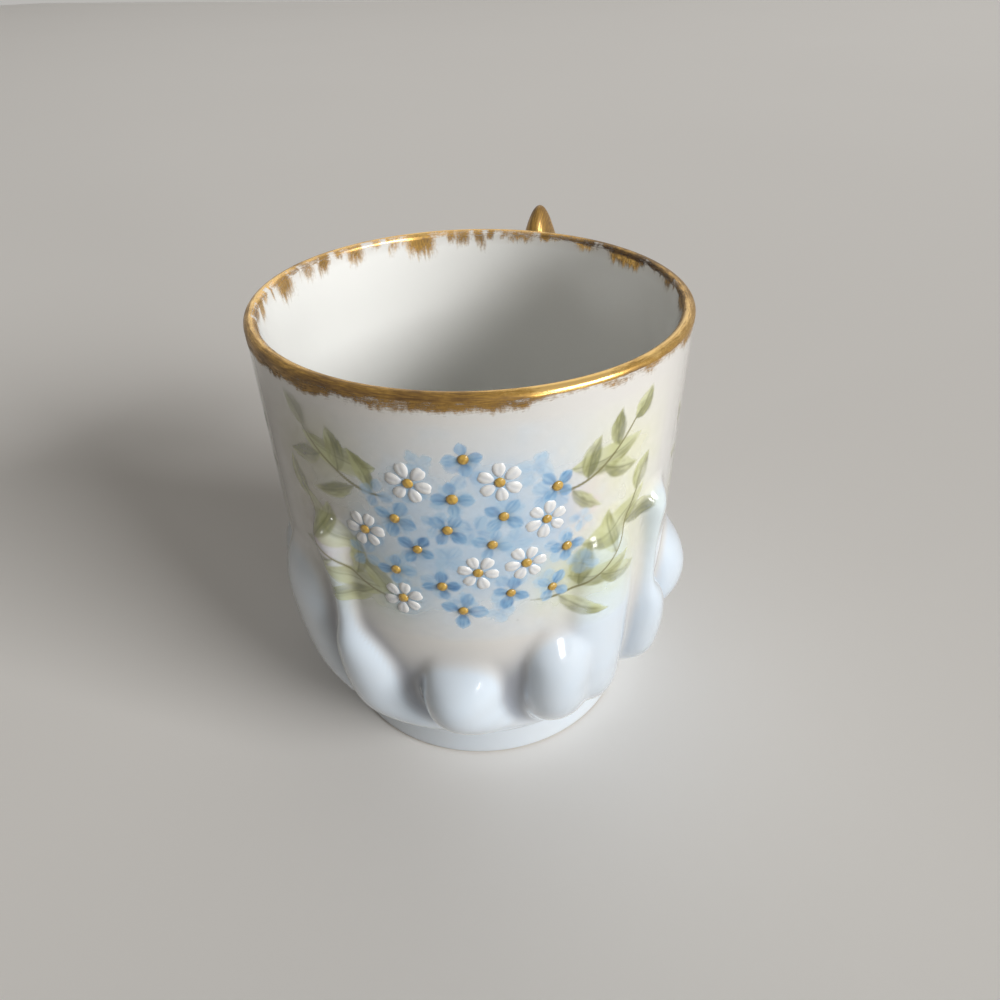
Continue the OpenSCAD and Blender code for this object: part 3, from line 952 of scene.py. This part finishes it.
# One flat petal, drawn with a loaded brush from the middle of the flower outwards
def layPetal(canvas, middle, turn, start, length, width, depth, strength, edge, seed):
    dx, dy = canvas["x"] - middle[0], canvas["y"] - middle[1]
    a = dx * math.cos(turn) + dy * math.sin(turn)
    b = -dx * math.sin(turn) + dy * math.cos(turn)
    t = (a - start) / length
    shape = np.clip(np.sin(math.pi * np.clip(t, 0, 1) ** 1.25), 0, 1) ** 0.7
    half = width / 2 * shape
    hairs = patchy(b + 40, a * 0.25, 0.24, seed)
    mask = smooth((half - np.abs(b)) / edge + 0.5 * (hairs - 0.5)) * (t > 0) * (t < 1)
    tone = depth + 0.6 * (t - 0.45) + 0.7 * (hairs - 0.5)
    loaded = 0.55 + 0.5 * patchy(canvas["x"], canvas["y"], 1.1, seed + 5)
    lay(canvas, strength * mask * np.clip(loaded, 0, 1), toned(tone, petalPaint))


strokeSteps = 48


# Place on a stroke that bends from its first point, past its second, to its third
def bent(points, t):
    p0, p1, p2 = (np.array(p, float) for p in points)
    return p0 * (1 - t) ** 2 + 2 * p1 * t * (1 - t) + p2 * t**2


# Nearest share along a bent stroke, the signed distance from it, and how far a place lies past its ends
def strokeShares(canvas, points):
    line = bent(points, np.linspace(0, 1, strokeSteps + 1)[:, None])
    way = np.gradient(line, axis=0)
    gap = np.linalg.norm(way, axis=1)
    way /= gap[:, None]
    dx = canvas["x"][:, None] - line[None, :, 0]
    dy = canvas["y"][:, None] - line[None, :, 1]
    near = np.argmin(dx**2 + dy**2, axis=1)
    rows = np.arange(len(near))
    dx, dy = dx[rows, near], dy[rows, near]
    side = way[near, 0] * dy - way[near, 1] * dx
    ahead = (way[near, 0] * dx + way[near, 1] * dy) / gap[near]
    past = gap[near] * np.maximum(np.abs(ahead) - 0.5, 0)
    return np.clip((near + np.clip(ahead, -0.5, 0.5)) / strokeSteps, 0, 1), side, past


leafPaint = {
    "tones": (screen(104, 108, 52), screen(146, 148, 82), screen(196, 200, 142)),
    "stem": screen(118, 112, 60),
    "vein": screen(92, 94, 44),
}


# Paints only the part of a canvas that lies round some points
def onPart(canvas, points, margin, work):
    xs, ys = zip(*points)
    keep = (canvas["x"] > min(xs) - margin) & (canvas["x"] < max(xs) + margin)
    keep &= (canvas["y"] > min(ys) - margin) & (canvas["y"] < max(ys) + margin)
    part = {key: value[keep] for key, value in canvas.items()}
    work(part)
    canvas["rgb"][keep] = part["rgb"]
    canvas["cover"][keep] = part["cover"]


def layLeaf(canvas, points, width, tone, seed):
    def work(part):
        t, side, past = strokeShares(part, points)
        half = width / 2 * np.sin(math.pi * np.clip(t, 0, 1) ** 0.85) ** 0.9
        hairs = patchy(side + 40, t * 2.2, 0.3, seed)
        mask = smooth((half - np.hypot(side, past)) / 0.5 + 0.5 * (hairs - 0.5))
        halves = np.sign(side) * smooth(np.abs(side) / 0.6)
        shade = tone + 0.3 * halves + 0.6 * (hairs - 0.5) + 0.3 * (t - 0.5)
        thin = 0.3 + 0.6 * patchy(part["x"], part["y"], 2.2, seed + 9)
        lay(part, mask * thin, toned(shade, leafPaint["tones"]))
        vein = np.exp(-((side / 0.13) ** 2)) * smooth((0.92 - t) / 0.2) * mask
        lay(part, 0.45 * vein, leafPaint["vein"])

    onPart(canvas, points, width, work)


def layStem(canvas, points, width, strength):
    def work(part):
        t, side, past = strokeShares(part, points)
        half = width / 2 * (1.1 - 0.45 * t) * (0.5 + 0.5 * smooth(t / 0.15))
        mask = smooth((half - np.hypot(side, past)) / 0.16 + 0.5)
        lay(part, strength * mask * smooth((t + 0.1) / 0.25), leafPaint["stem"])

    onPart(canvas, points, 2 * width, work)


# A stem with leaves left and right of it
def laySpray(canvas, points, leaves, leafL, leafW, seed):
    chance = np.random.default_rng(seed)
    p0, p1, p2 = (np.array(p, float) for p in points)
    layStem(canvas, points, 0.42, 0.85)
    for k in range(leaves):
        t = 0.18 + 0.82 * k / (leaves - 1)
        here = bent(points, t)
        way = 2 * (1 - t) * (p1 - p0) + 2 * t * (p2 - p1)
        lean = 0 if k == leaves - 1 else (0.85 if k % 2 else -0.85) + chance.uniform(-0.2, 0.2)
        turn = math.atan2(way[1], way[0]) + lean
        length = leafL * (1.1 - 0.35 * t) * chance.uniform(0.85, 1.15)
        tip = here + length * np.array([math.cos(turn), math.sin(turn)])
        bow = 0.16 * length * (1 if k % 2 else -1) * np.array([-math.sin(turn), math.cos(turn)])
        curve = [here, (here + tip) / 2 + bow, tip]
        layLeaf(canvas, curve, leafW * chance.uniform(0.85, 1.15), chance.uniform(0.3, 0.7), seed * 10 + k)


# Where the posy's flowers stand, in millimetres from its middle
posySet = {
    "z": cupH - 22 * mm,  # height of the middle, in metres
    "halfW": 16.5,
    "halfH": 14,
    "flowers": 21,
    "firstWhite": 2,
    "whiteStep": 3,
    "goldenTurn": math.radians(137.508),
}


def flowerPlace(i):
    share = math.sqrt((i + 0.5) / posySet["flowers"])
    turn = i * posySet["goldenTurn"]
    return posySet["halfW"] * share * math.cos(turn), posySet["halfH"] * share * math.sin(turn)


whiteFlowers = range(posySet["firstWhite"], posySet["flowers"], posySet["whiteStep"])


# A four-petalled floret, or its faint ghost: start, width and edge of the petals, as shares of the reach
def layFloret(canvas, middle, reach, depth, strength, petal, seed):
    chance = np.random.default_rng(seed)
    twist = chance.uniform(0, 1.5)
    start, broad, edge = (reach * share for share in petal)

    def work(part):
        for k in range(4):
            turn = twist + k * math.pi / 2 + chance.uniform(-0.16, 0.16)
            length = reach * chance.uniform(0.86, 1.08)
            width = broad * chance.uniform(0.9, 1.1)
            tone = depth + chance.uniform(-0.2, 0.2)
            layPetal(part, middle, turn, start, length, width, tone, strength, edge, seed + k)

    onPart(canvas, [middle], reach + 1, work)


crispPetal = (0.07, 0.74, 0.12)
softPetal = (0, 0.86, 0.22)
ghostPetal = (-0.1, 0.95, 0.35)


# Washes: middle, spread, colour, strength, seed.
# Sprays: stem, number of leaves, their length and width, seed
posyPaint = {
    "seed": 21,
    "washes": [
        ((0, 0), (17, 14), (196, 218, 238), 0.85, 1),
        ((-5, -3), (10, 9), (178, 206, 233), 0.6, 2),
        ((7, 4), (9, 8), (178, 206, 233), 0.6, 3),
        ((16, -9), (7, 5), (202, 206, 156), 0.8, 4),
        ((-16, -9), (7, 5), (206, 208, 166), 0.7, 5),
        ((21, 10), (6, 5), (216, 216, 176), 0.65, 6),
        ((-21, 10), (6, 5), (214, 214, 178), 0.6, 7),
        ((22, -2), (8, 13), (222, 222, 178), 0.6, 14),
        ((-23, 2), (7, 12), (206, 198, 166), 0.5, 15),
        ((15, 4), (4, 5), (232, 208, 208), 0.5, 8),
        ((-22, -3), (4, 5), (232, 208, 206), 0.5, 9),
    ],
    "paleLeaves": [
        [(13, -8), (19, -10), (24, -7)],
        [(15, -3), (22, -3), (27, 3)],
        [(13, 10), (19, 9), (25, 12)],
        [(-12, -9), (-18, -11), (-23, -7)],
        [(-16, -3), (-21, -2), (-26, 4)],
        [(-12, 11), (-18, 10), (-24, 14)],
    ],
    "paleLeafW": 4.6,
    "paleLeafTone": 0.9,
    "sprays": [
        ([(8, -11), (19, -13), (25, 2)], 6, 9, 3.6, 41),
        ([(-8, -11), (-19, -13), (-25, 2)], 6, 8.6, 3.5, 42),
        ([(11, 7), (17, 6), (23, 14)], 5, 7.6, 3.1, 43),
        ([(-11, 7), (-17, 6), (-23, 14)], 5, 7.6, 3.1, 44),
    ],
    "ghosts": 30,
    "ghostHalfW": 17,
    "ghostHalfH": 13.5,
    "ghostReach": (2.4, 3.4),
    "floretReach": (2.6, 3.3),
    "floretDepth": (0.2, 0.65),
    # painted shadows: a blue wash under each white blossom and a dark dab under each floret's raised centre
    "shadowUnderWhite": screen(150, 188, 222),
    "shadowUnderCentre": screen(78, 92, 84),
}
sprigPaint = {
    "washes": [
        ((0, 0), (9, 8), (204, 222, 238), 0.7, 11),
        ((8, -6), (6, 4), (208, 210, 168), 0.65, 12),
        ((-9, -4), (6, 4), (210, 212, 172), 0.6, 13),
    ],
    "sprays": [
        ([(-2, -10), (8, -9), (13, 6)], 6, 5.8, 2.5, 51),
        ([(-2, -10), (-10, -6), (-12, 7)], 6, 5.6, 2.4, 52),
    ],
    "florets": [(0.5, 0.5), (-4.6, 2.6), (4.4, 4.4), (-0.8, 6.4)],
    "centre": screen(196, 160, 62),
    "centreShade": screen(92, 70, 34),
}


def layWashes(canvas, washes):
    for middle, spread, colour, strength, seed in washes:
        layWash(canvas, middle, spread, screen(*colour), strength, seed)


def paintPosy(canvas):
    size = posyPaint
    chance = np.random.default_rng(size["seed"])
    layWashes(canvas, size["washes"])
    for k, leaf in enumerate(size["paleLeaves"]):
        layLeaf(canvas, leaf, size["paleLeafW"], size["paleLeafTone"], 400 + 3 * k)
    for spray in size["sprays"]:
        laySpray(canvas, *spray)
    for i in range(size["ghosts"]):
        share = math.sqrt((i + 1) / size["ghosts"])
        turn = (i + 0.45) * posySet["goldenTurn"] + 0.4
        ghost = (size["ghostHalfW"] * share * math.cos(turn), size["ghostHalfH"] * share * math.sin(turn))
        petal, depth = (softPetal, 0.72) if i % 3 == 0 else (ghostPetal, 0.95)
        layFloret(canvas, ghost, chance.uniform(*size["ghostReach"]), depth, 0.65, petal, 300 + 7 * i)
    for i in range(posySet["flowers"]):
        x, y = flowerPlace(i)
        if i in whiteFlowers:
            # painted shadow under the raised white blossom
            layWash(canvas, (x, y - 0.4), (2.7, 2.7), size["shadowUnderWhite"], 0.75, 60 + i)
        else:
            depth = chance.uniform(*size["floretDepth"])
            reach = chance.uniform(*size["floretReach"])
            layFloret(canvas, (x, y), reach, depth, 0.95, crispPetal, 100 + 7 * i)
            # painted shadow under the raised yellow centre
            layWash(canvas, (x + 0.2, y - 0.2), (0.95, 0.95), size["shadowUnderCentre"], 0.75, 90 + i)


def paintSideSprig(canvas):
    size = sprigPaint
    layWashes(canvas, size["washes"])
    for spray in size["sprays"]:
        laySpray(canvas, *spray)
    for k, (x, y) in enumerate(size["florets"]):
        layFloret(canvas, (x, y), 2.9 - 0.15 * k, 0.3 + 0.12 * k, 0.95, crispPetal, 200 + 9 * k)
        layWash(canvas, (x, y), (0.8, 0.8), size["centre"], 1.0, 210 + k)
        layWash(canvas, (x + 0.35, y - 0.35), (0.45, 0.45), size["centreShade"], 0.9, 220 + k)


filmSet = {
    "lift": 0.035 * mm,
    "faint": 0.012,
    # name, turn round the cup, half width, lowest and highest place, grid, painter, hand
    "films": [
        ("paintedPosy", posyTurn, 32, -19, 19, (376, 224), paintPosy, 1),
        ("leftPaintedSprig", posyTurn - 90, 19, -15, 15, (250, 198), paintSideSprig, 1),
        ("rightPaintedSprig", posyTurn + 90, 19, -15, 15, (250, 198), paintSideSprig, -1),
    ],
}


# Lays flat places in millimetres on the wall, round the cup from a turn in degrees
def onWall(x, y, stand, turn):
    angle = turn + np.degrees(x * mm / rimR)
    z = posySet["z"] + y * mm
    return roundAxis(wallRadius(angle, z) + stand, angle, z)


def buildFilm(name, turn, halfW, low, high, cells, painter, hand):
    piece, u, v = gridSheet(name, *cells)
    x = halfW * (2 * u - 1)
    y = low + (high - low) * v
    canvas = newCanvas(hand * x, y)
    painter(canvas)
    edge = np.minimum(np.minimum(u, 1 - u) * 2 * halfW, np.minimum(v, 1 - v) * (high - low))
    cover = canvas["cover"] * smooth(edge / 2)
    setPlaces(piece, onWall(x, y, filmSet["lift"], turn))
    setColours(piece, "paint", canvas["rgb"])
    setValues(piece, cover=cover)
    trimFilm(piece, cover < filmSet["faint"])
    settle(piece, paintFinish, "porcelain_body")


for film in filmSet["films"]:
    buildFilm(*film)


# Raised enamel: one petal and one dot are modelled flat, copied to their places and laid on the wall
dabSet = {
    "rings": 12,
    "sortFrom": (3, 5, 7),  # a place off every line of symmetry
    "petals": 6,
    "petalSegments": 24,
    "petalL": 2.35,
    "petalW": 1.75,
    "petalMiddle": 1.925,
    "petalRise": 0.3,
    "petalTurns": (-0.06, 0.06),
    "petalSizes": (0.93, 1.04),
    "petalSeed": 5,
    "blossomTwist": 25,
    "centreSegments": 20,
    "centreD": 1.5,
    "centreRise": 0.4,
    "centreTurns": (-0.5, 0.5),
    "centreSizes": (0.9, 1.04),
    "centreSeed": 6,
}


# A sphere to start from, with its faces sorted, because the tool gives them in another order on each run
def addDome(name, segments):
    piece = addNew(name, bpy.ops.mesh.primitive_uv_sphere_add, segments=segments, ring_count=dabSet["rings"],
                   radius=1)
    cursor = bpy.context.scene.cursor
    cursor.location = dabSet["sortFrom"]
    startEdit("SELECT")
    bpy.ops.mesh.sort_elements(type="CURSOR_DISTANCE", elements={"EDGE", "FACE"})
    endEdit()
    cursor.location = (0, 0, 0)
    return piece


def modelPetal():
    piece = addDome("whitePetal", dabSet["petalSegments"])
    x, y, up = places(piece).T
    width = dabSet["petalW"] / 2 * (1 + 0.22 * x - 0.1 * x**2)
    notch = 0.13 * np.exp(-((y / 0.3) ** 2)) * smooth((x - 0.5) / 0.5)
    dish = 1 - 0.3 * np.exp(-((y / 0.35) ** 2)) * smooth((x + 1) / 0.8)
    points = np.stack([
        dabSet["petalMiddle"] + dabSet["petalL"] / 2 * (x - notch),
        width * y,
        dabSet["petalRise"] * np.maximum(up, 0) ** 1.4 * dish,
    ], axis=1)
    setPlaces(piece, points)
    shade = 0.55 * smooth((-0.35 - x) / 0.6) + 0.25 * smooth((up - 0.75) / 0.25) * np.exp(-((y / 0.3) ** 2))
    setValues(piece, shade=shade)
    return piece


def modelDot():
    piece = addDome("yellowDot", dabSet["centreSegments"])
    x, y, up = places(piece).T
    points = np.stack([
        dabSet["centreD"] / 2 * x,
        dabSet["centreD"] / 2 * y,
        dabSet["centreRise"] * np.maximum(up, 0) ** 0.8 * (1 + 0.15 * np.sin(5 * x) * np.cos(6 * y)),
    ], axis=1)
    setPlaces(piece, points)
    setValues(piece, shade=0.85 * smooth((0.55 * x - 0.75 * y - 0.35) / 0.5))
    return piece


def copyFlat(piece, turn, middle, size):
    copy = piece.copy()
    copy.data = piece.data.copy()
    bpy.context.scene.collection.objects.link(copy)
    moved = Matrix.Translation((*middle, 0)) @ Matrix.Rotation(turn, 4, "Z") @ Matrix.Scale(size, 4)
    copy.data.transform(moved)
    return copy


# Joins flat copies and lays them on the wall, their undersides just in the glaze
def layCopies(name, master, copies, finish, slot, node):
    bpy.data.objects.remove(master)
    clearSelection()
    for copy in copies:
        copy.select_set(True)
    bpy.context.view_layer.objects.active = copies[0]
    bpy.ops.object.join()
    piece = bpy.context.object
    piece.name = name
    x, y, up = places(piece).T
    setPlaces(piece, onWall(x, y, up * mm, posyTurn))
    weld(piece)
    settle(piece, finish, slot, node)


def buildWhitePetals():
    chance = np.random.default_rng(dabSet["petalSeed"])
    master = modelPetal()
    copies = []
    for i in whiteFlowers:
        for k in range(dabSet["petals"]):
            turn = math.radians(360 * k / dabSet["petals"] + dabSet["blossomTwist"] * i)
            turn += chance.uniform(*dabSet["petalTurns"])
            copies.append(copyFlat(master, turn, flowerPlace(i), chance.uniform(*dabSet["petalSizes"])))
    layCopies("whitePetals", master, copies, whiteFinish, "white_enamel", "white_enamel_petals")


def buildYellowCentres():
    chance = np.random.default_rng(dabSet["centreSeed"])
    master = modelDot()
    copies = []
    for i in range(posySet["flowers"]):
        turn = chance.uniform(*dabSet["centreTurns"])
        copies.append(copyFlat(master, turn, flowerPlace(i), chance.uniform(*dabSet["centreSizes"])))
    layCopies("yellowCentres", master, copies, yellowFinish, "yellow_enamel", "yellow_enamel_centres")


buildWhitePetals()
buildYellowCentres()


# Floor, lights and world
stageSet = {
    "floorSize": 8,
    "floorRoughness": 0.6,
    "floorCloud": 3.0,
    # floor and sky as they show, and as they light the cup
    "floor": paint(238, 236, 233),
    "floorBounce": paint(150, 147, 142),
    "sky": paint(186, 184, 181),
    "skyLight": paint(95, 91, 85),
    # name, turn round the cup, elevation, distance, width, height, power, colour
    "lamps": [
        ("keyLamp", -104, 23.5, 12, 6.4, 3.8, 1350, (1, 0.99, 0.975)),
        ("sparkLamp", -128, 6.5, 12, 2.16, 1.68, 160, (1, 1, 1)),
        ("leftSparkLamp", 138, 9, 12, 0.84, 1.08, 35, (1, 1, 1)),
        ("backLamp", 14, 34, 8, 9, 6, 88, (1, 0.99, 0.97)),
    ],
}


def addLamp(name, turn, rise, far, width, height, power, colour):
    turn, rise = math.radians(turn), math.radians(rise)
    aim = Vector((0, 0, cupH / 2))
    away = Vector((math.cos(turn) * math.cos(rise), math.sin(turn) * math.cos(rise), math.sin(rise)))
    lamp = addNew(name, bpy.ops.object.light_add, type="AREA", location=aim + far * away)
    lamp.rotation_euler = away.to_track_quat("Z", "Y").to_euler()
    lamp.data.shape = "RECTANGLE"
    lamp.data.size = width
    lamp.data.size_y = height
    lamp.data.energy = power
    lamp.data.color = colour


def addStage():
    floor = addNew("paleFloor", bpy.ops.mesh.primitive_plane_add, size=stageSet["floorSize"])
    f = newFinish("paleFloor")
    cloud = f.noise(f.objectPlace(), stageSet["floorCloud"])
    colour = f.blend(f.shown(), stageSet["floorBounce"], stageSet["floor"])
    rough = stageSet["floorRoughness"] + cloud * 0.1
    floor.data.materials.append(f.surface(Base_Color=colour, Roughness=rough))
    f = Finish(bpy.data.worlds.new("studio"))
    colour = f.blend(f.shown(), stageSet["skyLight"], stageSet["sky"])
    background = f.node("ShaderNodeBackground", {}, {"Color": colour, "Strength": 1.0})
    f.node("ShaderNodeOutputWorld", {}, {"Surface": background})
    bpy.context.scene.world = f.owner
    for lamp in stageSet["lamps"]:
        addLamp(*lamp)


addStage()
print("stage set")
